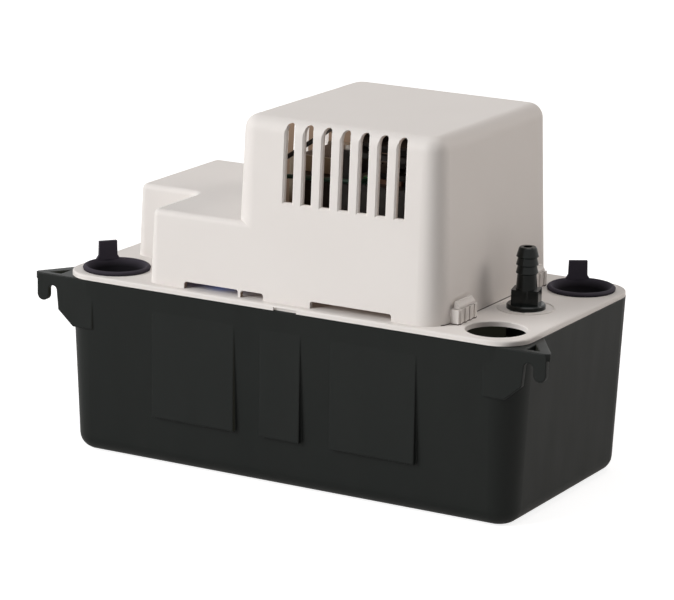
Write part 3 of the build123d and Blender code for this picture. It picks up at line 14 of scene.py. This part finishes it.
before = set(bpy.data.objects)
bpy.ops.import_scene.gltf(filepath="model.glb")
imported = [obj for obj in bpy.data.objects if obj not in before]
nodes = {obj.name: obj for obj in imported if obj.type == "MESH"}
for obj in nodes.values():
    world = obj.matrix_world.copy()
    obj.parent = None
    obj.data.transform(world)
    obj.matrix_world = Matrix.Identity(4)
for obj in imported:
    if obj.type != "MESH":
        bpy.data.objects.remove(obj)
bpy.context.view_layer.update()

# %% [markdown]
# ## Camera
# A long lens from well back keeps the long edges of the tank nearly parallel, as product
# pictures of boxy appliances do. The camera is placed by its position, then turned by three
# angles: round the vertical, down from the horizon, and a slight roll about its own axis.

# %% Camera
CAMERA_PLACE = Vector((0.7749, -1.3883, 0.4884))
CAMERA_YAW = radians(29.344)
CAMERA_PITCH = radians(14.430)
CAMERA_ROLL = radians(1.090)
IMAGE_WIDTH = 674
FOCAL_PIXELS = 3401.6
SENSOR_WIDTH = 36.0
NEAREST, FARTHEST = 0.1, 30.0

camera = bpy.data.objects.new("camera", bpy.data.cameras.new("camera"))
bpy.context.scene.collection.objects.link(camera)
camera.data.sensor_width = SENSOR_WIDTH
camera.data.lens = FOCAL_PIXELS / IMAGE_WIDTH * SENSOR_WIDTH
turn = (Matrix.Rotation(CAMERA_YAW, 4, "Z") @ Matrix.Rotation(pi / 2 - CAMERA_PITCH, 4, "X")
        @ Matrix.Rotation(CAMERA_ROLL, 4, "Z"))
camera.matrix_world = Matrix.Translation(CAMERA_PLACE) @ turn
camera.data.clip_start, camera.data.clip_end = NEAREST, FARTHEST
bpy.context.scene.camera = camera
bpy.context.scene.view_settings.view_transform = "Standard"
print("lens in mm:", round(camera.data.lens, 1))

# %% [markdown]
# ## Shader maths
# A material could be built as a long list of nodes and links, but it reads better as a formula.
# One small class wraps a socket, so that `mask * 0.5 + 0.2` adds the Math nodes by itself, and
# one method makes any other node.

# %% A socket that can stand in a formula
class Wire:
    """A socket of a shader tree that can be used in a formula."""

    def __init__(self, tree, socket):
        self.tree = tree
        self.socket = socket

    def node(self, kind, settings=None, sockets=None, output=0):
        """Add a node, set its settings, then feed its sockets, and give back one output."""
        made = self.tree.nodes.new(kind)
        for name, value in (settings or {}).items():
            setattr(made, name, value)
        for name, value in (sockets or {}).items():
            if isinstance(value, Wire):
                self.tree.links.new(value.socket, made.inputs[name])
            else:
                made.inputs[name].default_value = value
        return Wire(self.tree, made.outputs[output])

    def maths(self, operation, first, second=0.0):
        return self.node("ShaderNodeMath", {"operation": operation}, {0: first, 1: second})

    def __add__(self, other):
        return self.maths("ADD", self, other)

    def __mul__(self, other):
        return self.maths("MULTIPLY", self, other)

    def __lt__(self, other):
        return self.maths("LESS_THAN", self, other)

    def __gt__(self, other):
        return self.maths("GREATER_THAN", self, other)

    __radd__ = __add__
    __rmul__ = __mul__


# %% [markdown]
# ## Patterns that several finishes share
# Every finish here is a Principled shader whose colour, roughness and relief come from a few
# patterns. They read Object coordinates, so a pattern is in metres on the part itself, keeps one
# scale on every part and moves with it.

# %% Start a finish
def new_finish(name):
    """An empty material, its main shader and its object coordinates."""
    material = bpy.data.materials.new(name)
    material.use_nodes = True
    tree = material.node_tree
    shader = tree.nodes["Principled BSDF"]
    place = Wire(tree, tree.nodes.new("ShaderNodeTexCoord").outputs["Object"])
    return material, shader, place


def feed(shader, name, value):
    """Link a wire to one socket of the main shader, or set a constant there."""
    if isinstance(value, Wire):
        value.tree.links.new(value.socket, shader.inputs[name])
    else:
        shader.inputs[name].default_value = value


def dress(names, material):
    """Put one material on each named part."""
    for name in names:
        mesh = nodes[name].data
        mesh.materials.clear()
        mesh.materials.append(material)
    print(material.name, "on", len(names), "parts")


# %% Patterns
BLACK = (0.0, 0.0, 0.0)
WHITE = (1.0, 1.0, 1.0)


def along(place, axis):
    """One coordinate of a place: X, Y or Z."""
    return place.node("ShaderNodeSeparateXYZ", {}, {"Vector": place}, axis)


def climb(value, low, high):
    """0 up to low, 1 from high on, and a straight line between them."""
    return value.node("ShaderNodeMapRange", {}, {"Value": value, "From Min": low, "From Max": high})


def noise(place, size, detail=3.0, stretch=(1.0, 1.0, 1.0)):
    """Cloudy noise from 0 to 1, whose patches are about size metres across."""
    moved = place.node("ShaderNodeMapping", {}, {"Vector": place, "Scale": stretch})
    return moved.node("ShaderNodeTexNoise", {},
                      {"Vector": moved, "Scale": 1.0 / size, "Detail": detail}, "Fac")


def blend_colours(amount, first, second):
    """Run from the first colour to the second as amount goes from 0 to 1."""
    ends = [end if isinstance(end, Wire) else (*end, 1.0) for end in (first, second)]
    return amount.node("ShaderNodeMix", {"data_type": "RGBA"}, {"Factor": amount, 6: ends[0], 7: ends[1]}, 2)


def bump(height, depth, strength=0.5, below=None):
    """A normal from a height pattern, depth metres deep, stacked on another if one is given."""
    sockets = {"Strength": strength, "Distance": depth, "Height": height}
    if below is not None:
        sockets["Normal"] = below
    return height.node("ShaderNodeBump", {}, sockets)


def faces_inwards(place, centre, limit):
    """1 on the faces of a shell that look towards its centre, otherwise 0."""
    away = place.node("ShaderNodeVectorMath", {"operation": "SUBTRACT"}, {0: place, 1: centre})
    away = away.node("ShaderNodeVectorMath", {"operation": "NORMALIZE"}, {0: away})
    facing = Wire(place.tree, place.socket.node.outputs["Normal"])
    turned = away.node("ShaderNodeVectorMath", {"operation": "DOT_PRODUCT"}, {0: away, 1: facing}, "Value")
    return turned < limit


# %% [markdown]
# ## Floor
# The object stands on pure white. A floor that really shone that brightly would light the dark
# tank from below and hide its form. So the floor has two glows: a strong one that only the camera
# sees, and a weak one that the object gets back.

# %% Floor
FLOOR_HALF = 12.0
FLOOR_COLOUR = (0.55, 0.55, 0.55)
FLOOR_SEEN = (0.80, 0.80, 0.80)
FLOOR_BOUNCE = (0.20, 0.19, 0.18)

floor_mesh = bpy.data.meshes.new("floor")
sheet_of_floor = bmesh.new()
bmesh.ops.create_grid(sheet_of_floor, x_segments=1, y_segments=1, size=FLOOR_HALF)
sheet_of_floor.to_mesh(floor_mesh)
sheet_of_floor.free()
floor = bpy.data.objects.new("floor", floor_mesh)
bpy.context.scene.collection.objects.link(floor)

floor_finish, shader, _ = new_finish("pale_floor")
rays = floor_finish.node_tree.nodes.new("ShaderNodeLightPath")
seen = Wire(floor_finish.node_tree, rays.outputs["Is Camera Ray"])
feed(shader, "Base Color", (*FLOOR_COLOUR, 1.0))
feed(shader, "Roughness", 0.9)
feed(shader, "Specular IOR Level", 0.1)
feed(shader, "Emission Color", blend_colours(seen, FLOOR_BOUNCE, FLOOR_SEEN))
feed(shader, "Emission Strength", 1.0)
floor_mesh.materials.append(floor_finish)
print("floor side in metres:", 2 * FLOOR_HALF)

# %% [markdown]
# ## World
# The world is the tent round the object. Camera, glossy and transmission rays see it white, so
# black plastic has something to reflect. As diffuse light it is dim and warm, because an even
# white light from all sides would flatten the pale cover.

# %% World
SKY_COLOUR = (1.0, 0.93, 0.87)
SKY_LIGHT = 0.05

world = bpy.data.worlds.new("studio")
bpy.context.scene.world = world
world.use_nodes = True
sky = world.node_tree.nodes["Background"]
rays = world.node_tree.nodes.new("ShaderNodeLightPath")
seen, mirrored, passed = (Wire(world.node_tree, rays.outputs[name])
                          for name in ("Is Camera Ray", "Is Glossy Ray", "Is Transmission Ray"))
direct = seen.maths("MINIMUM", seen + mirrored + passed, 1.0)
feed(sky, "Color", blend_colours(direct, SKY_COLOUR, WHITE))
feed(sky, "Strength", direct * (1.0 - SKY_LIGHT) + SKY_LIGHT)
print("diffuse light from the world:", SKY_LIGHT)

# %% [markdown]
# ## Lamps
# Three softboxes give the shape. The key stands to the front left and makes the front the
# brightest side. One overhead lights the roofs. A weaker, warmer one stands behind on the right,
# so far round that little of either light reaches the upright corner between the front and the
# right side: that corner turns dark, on the cover and on the tank, and shows how round it is.

# %% Lamps
MIDDLE = (0.0, 0.0, 0.09)
SOFTBOXES = {
    # name: place, side in metres, watts, colour
    "key_softbox": ((-2.75, -3.30, 2.1), 2.6, 200.0, WHITE),
    "top_softbox": ((0.3, 0.3, 4.5), 3.0, 48.0, WHITE),
    "side_softbox": ((3.1, 2.7, 2.3), 2.2, 72.0, (1.0, 0.93, 0.88)),
}

for name, (place, side, power, colour) in SOFTBOXES.items():
    lamp = bpy.data.objects.new(name, bpy.data.lights.new(name, "AREA"))
    lamp.data.size = side
    lamp.data.energy = power
    lamp.data.color = colour
    lamp.location = place
    lamp.rotation_euler = (Vector(MIDDLE) - Vector(place)).to_track_quat("-Z", "Y").to_euler()
    bpy.context.scene.collection.objects.link(lamp)
print("softboxes:", len(SOFTBOXES))

# %% [markdown]
# ## Pale plastic of the cover and the lid
# Both are moulded from one off-white plastic with a fine spark-eroded grain and little gloss. The
# real shell is thin enough to let light through, so behind the louvres it glows a dull brown.
# Subsurface light could do that, but it is slow and noisy in a closed box. Here a face counts as
# inside where its normal looks towards the housing's middle, and such a face gets a painted shade,
# a darker brown base, and a painted glow, a faint emission that fades downwards.
#
# The cover stands on the lid along its foot. Under the right wall shade falls into that joint as a
# dark line, so the lowest half millimetre of the wall is painted with that shade there.

# %% Cover and lid
COVER_CENTRE = (0.025, -0.001, 0.132)
LOOKS_IN = -0.52
# Painted shade in the base colour and a painted glow for the faces that look inwards.
INSIDE_PAINTED_SHADE = (0.20, 0.145, 0.105)
INSIDE_GLOW_LOW = (0.030, 0.020, 0.014)
INSIDE_GLOW_HIGH = (0.220, 0.155, 0.112)
GLOW_FOOT, GLOW_TOP = 0.118, 0.165
# Painted shade line along the foot of the right wall.
SEAM_TOP = 0.0905
SEAM_START = 0.0795
SEAM_PAINTED_SHADE = (0.10, 0.08, 0.07)
PALE_DARK = (0.778, 0.738, 0.708)
PALE_LIGHT = (0.812, 0.774, 0.747)
PALE_CLOUD = 0.05
PALE_GRAIN = 0.0011
PALE_GRAIN_DEPTH = 0.00003
PALE_POLISH = 0.02
PALE_ROUGH, PALE_ROUGH_SPREAD = 0.50, 0.08
PALE_SHINE = 0.16


def pale_plastic(name, has_inside):
    """Off-white plastic; with has_inside, painted shade and a warm painted glow on the faces that look
    inwards, and a painted shade line under the right wall.
    """
    material, shader, place = new_finish(name)
    outer = blend_colours(noise(place, PALE_CLOUD, 2.0), PALE_DARK, PALE_LIGHT)
    if has_inside:
        height = along(place, "Z")
        # A painted shade line in the lowest half millimetre of the right wall.
        seam_shade_mask = (height < SEAM_TOP) * (along(place, "X") > SEAM_START)
        # Painted shade on the inward faces' base colour, and a painted glow as their emission.
        inside = faces_inwards(place, COVER_CENTRE, LOOKS_IN)
        glow = blend_colours(climb(height, GLOW_FOOT, GLOW_TOP), INSIDE_GLOW_LOW, INSIDE_GLOW_HIGH)
        outer = blend_colours(inside, blend_colours(seam_shade_mask, outer, SEAM_PAINTED_SHADE), INSIDE_PAINTED_SHADE)
        feed(shader, "Emission Color", blend_colours(inside, BLACK, glow))
        feed(shader, "Emission Strength", 1.0)
    feed(shader, "Base Color", outer)
    feed(shader, "Roughness", noise(place, PALE_POLISH, 2.0) * PALE_ROUGH_SPREAD + PALE_ROUGH)
    feed(shader, "Specular IOR Level", PALE_SHINE)
    feed(shader, "Normal", bump(noise(place, PALE_GRAIN, 2.0), PALE_GRAIN_DEPTH, 0.35))
    return material


dress(["motor_cover"], pale_plastic("cover_plastic", True))
dress(["tank_lid"], pale_plastic("lid_plastic", False))

# %% [markdown]
# ## Black plastic of the tank
# The tank is moulded in one black piece, with long faint flow marks down its walls. Noise that is
# stretched along Z gives them. The pads and hooks of the real tank have slightly rounded edges
# that catch the light. A Bevel modifier would have to change the part's mesh, so the Bevel node
# bends only the normals near each edge. A trace of olive emission inside stands for the light
# that comes in through the open inlet.

# %% Tank
TANK_CENTRE = (0.0, 0.0, 0.06)
TANK_LOOKS_IN = -0.05
TANK_EDGE = 0.0011
TANK_HOLLOW = (0.0090, 0.0088, 0.0062)
TANK_DARK = (0.0060, 0.0078, 0.0072)
TANK_LIGHT = (0.0105, 0.0122, 0.0110)
TANK_GRAIN = 0.0008
TANK_GRAIN_DEPTH = 0.00004
FLOW_WIDTH, FLOW_STRETCH = 0.03, (1.0, 1.0, 0.12)
POLISH_WIDTH, POLISH_STRETCH = 0.012, (1.0, 1.0, 0.3)
TANK_ROUGH, TANK_ROUGH_SPREAD = 0.36, 0.14
TANK_SHINE = 0.20

tank_plastic, shader, place = new_finish("tank_plastic")
flow = noise(place, FLOW_WIDTH, stretch=FLOW_STRETCH)
polish = noise(place, POLISH_WIDTH, 2.0, POLISH_STRETCH)
soft_edges = place.node("ShaderNodeBevel", {"samples": 4}, {"Radius": TANK_EDGE})
hollow = faces_inwards(place, TANK_CENTRE, TANK_LOOKS_IN)
feed(shader, "Base Color", blend_colours(flow, TANK_DARK, TANK_LIGHT))
feed(shader, "Roughness", polish * TANK_ROUGH_SPREAD + TANK_ROUGH)
feed(shader, "Specular IOR Level", TANK_SHINE)
feed(shader, "Normal", bump(noise(place, TANK_GRAIN), TANK_GRAIN_DEPTH, below=soft_edges))
feed(shader, "Emission Color", blend_colours(hollow, BLACK, TANK_HOLLOW))
feed(shader, "Emission Strength", 1.0)
dress(["tank"], tank_plastic)

# %% [markdown]
# ## Small parts
# Screws, bearings, switches, wires and the pump's own mouldings are small or half hidden. Each
# could have a shader tree of its own, but they only differ in their values, so they share one
# recipe: a base colour that wanders slightly, a roughness that wanders with it, and a grain that
# suits the material. One table holds the values, and another says which parts are made of what.

# %% Recipe for small parts
COLOUR_PATCH = 0.006
POLISH_PATCH = 0.004


def simple_finish(name, dark, light, metallic, rough, rough_spread, grain, grain_depth, shine=0.5):
    """A material whose colour, roughness and grain all vary a little over the part."""
    material, shader, place = new_finish(name)
    feed(shader, "Base Color", blend_colours(noise(place, COLOUR_PATCH), dark, light))
    feed(shader, "Metallic", metallic)
    feed(shader, "Roughness", noise(place, POLISH_PATCH) * rough_spread + rough)
    feed(shader, "Specular IOR Level", shine)
    feed(shader, "Normal", bump(noise(place, grain), grain_depth))
    return material


# %% Materials of the small parts
SMALL_FINISHES = {
    # name: dark, light, metallic, roughness, its spread, grain, grain depth, shine
    "black_rubber": ((0.012, 0.011, 0.013), (0.020, 0.018, 0.021), 0.0, 0.55, 0.15, 0.0009, 0.00005, 0.20),
    "valve_plastic": ((0.0015, 0.0034, 0.0026), (0.0030, 0.0055, 0.0044),
                      0.0, 0.15, 0.12, 0.001, 0.00002, 0.26),
    "black_plastic": ((0.010, 0.010, 0.010), (0.018, 0.018, 0.018), 0.0, 0.45, 0.2, 0.001, 0.00004, 0.30),
    "zinc_steel": ((0.50, 0.50, 0.49), (0.66, 0.66, 0.63), 1.0, 0.26, 0.2, 0.0006, 0.00002, 0.5),
    "black_bracket": ((0.010, 0.010, 0.010), (0.022, 0.022, 0.021), 0.0, 0.50, 0.2, 0.001, 0.00006, 0.35),
    "sintered_bronze": ((0.42, 0.26, 0.11), (0.58, 0.40, 0.19), 1.0, 0.40, 0.2, 0.0006, 0.00004, 0.5),
    "bare_copper": ((0.07, 0.040, 0.028), (0.18, 0.10, 0.065), 0.9, 0.38, 0.2, 0.001, 0.00002, 0.5),
    "natural_nylon": ((0.30, 0.26, 0.20), (0.42, 0.37, 0.29), 0.0, 0.38, 0.2, 0.002, 0.00003, 0.4),
    "coil_tape": ((0.050, 0.030, 0.016), (0.110, 0.068, 0.036), 0.0, 0.50, 0.2, 0.001, 0.00005, 0.4),
    "float_foam": ((0.035, 0.035, 0.035), (0.060, 0.060, 0.058), 0.0, 0.75, 0.15, 0.0012, 0.0002, 0.2),
    "white_acetal": ((0.66, 0.66, 0.64), (0.76, 0.76, 0.74), 0.0, 0.32, 0.15, 0.001, 0.00002, 0.5),
    "blue_connector": ((0.008, 0.085, 0.38), (0.014, 0.13, 0.52), 0.0, 0.28, 0.12, 0.001, 0.00002, 0.5),
    "red_button": ((0.45, 0.03, 0.02), (0.60, 0.05, 0.03), 0.0, 0.30, 0.15, 0.001, 0.00002, 0.5),
    "black_insulation": ((0.006, 0.006, 0.006), (0.011, 0.011, 0.011), 0.0, 0.35, 0.12, 0.001, 0.00002, 0.4),
    "white_insulation": ((0.60, 0.59, 0.56), (0.72, 0.71, 0.68), 0.0, 0.35, 0.12, 0.001, 0.00002, 0.4),
    "green_insulation": ((0.008, 0.034, 0.024), (0.014, 0.060, 0.040), 0.0, 0.35, 0.12, 0.001, 0.00002, 0.4),
    "green_zinc": ((0.03, 0.20, 0.07), (0.06, 0.28, 0.10), 0.8, 0.30, 0.15, 0.001, 0.00002, 0.5),
}

# %% Parts made of them
DRESSED = {
    "black_rubber": ["cord_bushing", "check_valve_o_ring", "shaft_slinger"],
    "valve_plastic": ["check_valve_body"],
    "black_plastic": ["pump_column", "volute", "volute_cover", "impeller", "intake_screen", "discharge_tube",
                      "cooling_fan", "pump_switch", "safety_switch", "check_valve_seat"],
    "zinc_steel": ["motor_screws", "column_screws", "housing_screws", "volute_screws", "switch_screws",
                   "bracket_screws", "float_bracket", "float_pivot_pin", "motor_shaft", "pump_switch_lever",
                   "safety_switch_lever"],
    "black_bracket": ["lower_bearing_bracket", "upper_bearing_bracket"],
    "sintered_bronze": ["lower_bearing", "upper_bearing"],
    "bare_copper": ["shading_rings"],
    "natural_nylon": ["coil_bobbin"],
    "coil_tape": ["stator_coil"],
    "float_foam": ["float"],
    "white_acetal": ["float_arm", "check_ball"],
    "blue_connector": ["wire_nut"],
    "red_button": ["pump_switch_plunger", "safety_switch_plunger"],
    "black_insulation": ["lead_black"],
    "white_insulation": ["lead_white"],
    "green_insulation": ["lead_green"],
    "green_zinc": ["ground_screw"],
}
for name, recipe in SMALL_FINISHES.items():
    dress(DRESSED[name], simple_finish(name, *recipe))

# %% [markdown]
# ## Light in the wire nut
# The wire nut is a thin shell of translucent blue plastic. It carries light to its closed end, so
# the end shows blue even in the shade behind the vent. Real transmission would be slow there, and
# a small emission of the same blue does it.

# %% Wire nut
NUT_GLOW = (0.002, 0.030, 0.13)

nut_shader = bpy.data.materials["blue_connector"].node_tree.nodes["Principled BSDF"]
feed(nut_shader, "Emission Color", (*NUT_GLOW, 1.0))
feed(nut_shader, "Emission Strength", 1.0)
print("glow of the wire nut:", NUT_GLOW)

# %% [markdown]
# ## Rubber of the inlet plugs
# The plugs are dull, slightly violet rubber cups. Seen at a flat angle even dull rubber reflects
# the white room, also deep in the dish, where the real one is nearly black because its own wall
# stands in the way and keeps it in shade. So the rubber is mixed with a plain black shader, a
# painted shade, and the height over the dish's floor sets how much of each shows. The higher parts
# of the plug also get a faint painted glow, an emission that fades out towards the dish's floor.

# %% Inlet plugs
PLUG_DARK = (0.020, 0.017, 0.023)
PLUG_LIGHT = (0.028, 0.024, 0.032)
# Painted glow on the plug's upper parts.
PLUG_PAINTED_GLOW = (0.010, 0.0085, 0.011)
# Painted shade for the dish's floor.
DISH_PAINTED_SHADE = (0.003, 0.003, 0.003)
DISH_FLOOR = 0.0885
PLUG_RIM = 0.0915
RUBBER_GRAIN = 0.0009
RUBBER_GRAIN_DEPTH = 0.00005

plug_rubber, shader, place = new_finish("plug_rubber")
raised = climb(along(place, "Z"), DISH_FLOOR, PLUG_RIM)
feed(shader, "Base Color", blend_colours(noise(place, COLOUR_PATCH), PLUG_DARK, PLUG_LIGHT))
# A painted glow, an emission that rises with the height over the dish's floor.
feed(shader, "Emission Color", blend_colours(raised, BLACK, PLUG_PAINTED_GLOW))
feed(shader, "Emission Strength", 1.0)
feed(shader, "Roughness", noise(place, POLISH_PATCH) * 0.12 + 0.62)
feed(shader, "Specular IOR Level", 0.12)
feed(shader, "Normal", bump(noise(place, RUBBER_GRAIN), RUBBER_GRAIN_DEPTH))
rubber = Wire(plug_rubber.node_tree, shader.outputs[0])
# A black shader mixed in low in the dish: painted shade.
shade = rubber.node("ShaderNodeBsdfDiffuse", {}, {"Color": (*DISH_PAINTED_SHADE, 1.0)})
mixed = raised.node("ShaderNodeMixShader", {}, {"Fac": raised * 0.8 + 0.2, 1: shade, 2: rubber})
feed(plug_rubber.node_tree.nodes["Material Output"], "Surface", mixed)
dress(["inlet_plug_left", "inlet_plug_right"], plug_rubber)

# %% [markdown]
# ## Laminations
# The stator and the rotor are stacks of thin stamped sheets. Modelling each sheet would take
# thousands of faces that only show through the louvres, so a fine wave along the shaft's
# direction gives the lines of the stack, both in relief and in the varnish's shine.

# %% Laminated steel
SHEET_THICKNESS = 0.0006
SHEET_RELIEF = 0.0001
VARNISH_DARK = (0.016, 0.015, 0.014)
VARNISH_LIGHT = (0.040, 0.036, 0.032)

laminated, shader, place = new_finish("laminated_steel")
height = along(place, "Z")
sheets = height.maths("PINGPONG", height, SHEET_THICKNESS / 2) * (2.0 / SHEET_THICKNESS)
feed(shader, "Base Color", blend_colours(noise(place, POLISH_PATCH), VARNISH_DARK, VARNISH_LIGHT))
feed(shader, "Metallic", 0.6)
feed(shader, "Roughness", sheets * 0.22 + 0.30)
feed(shader, "Normal", bump(sheets, SHEET_RELIEF, 0.6))
dress(["stator_core", "rotor"], laminated)
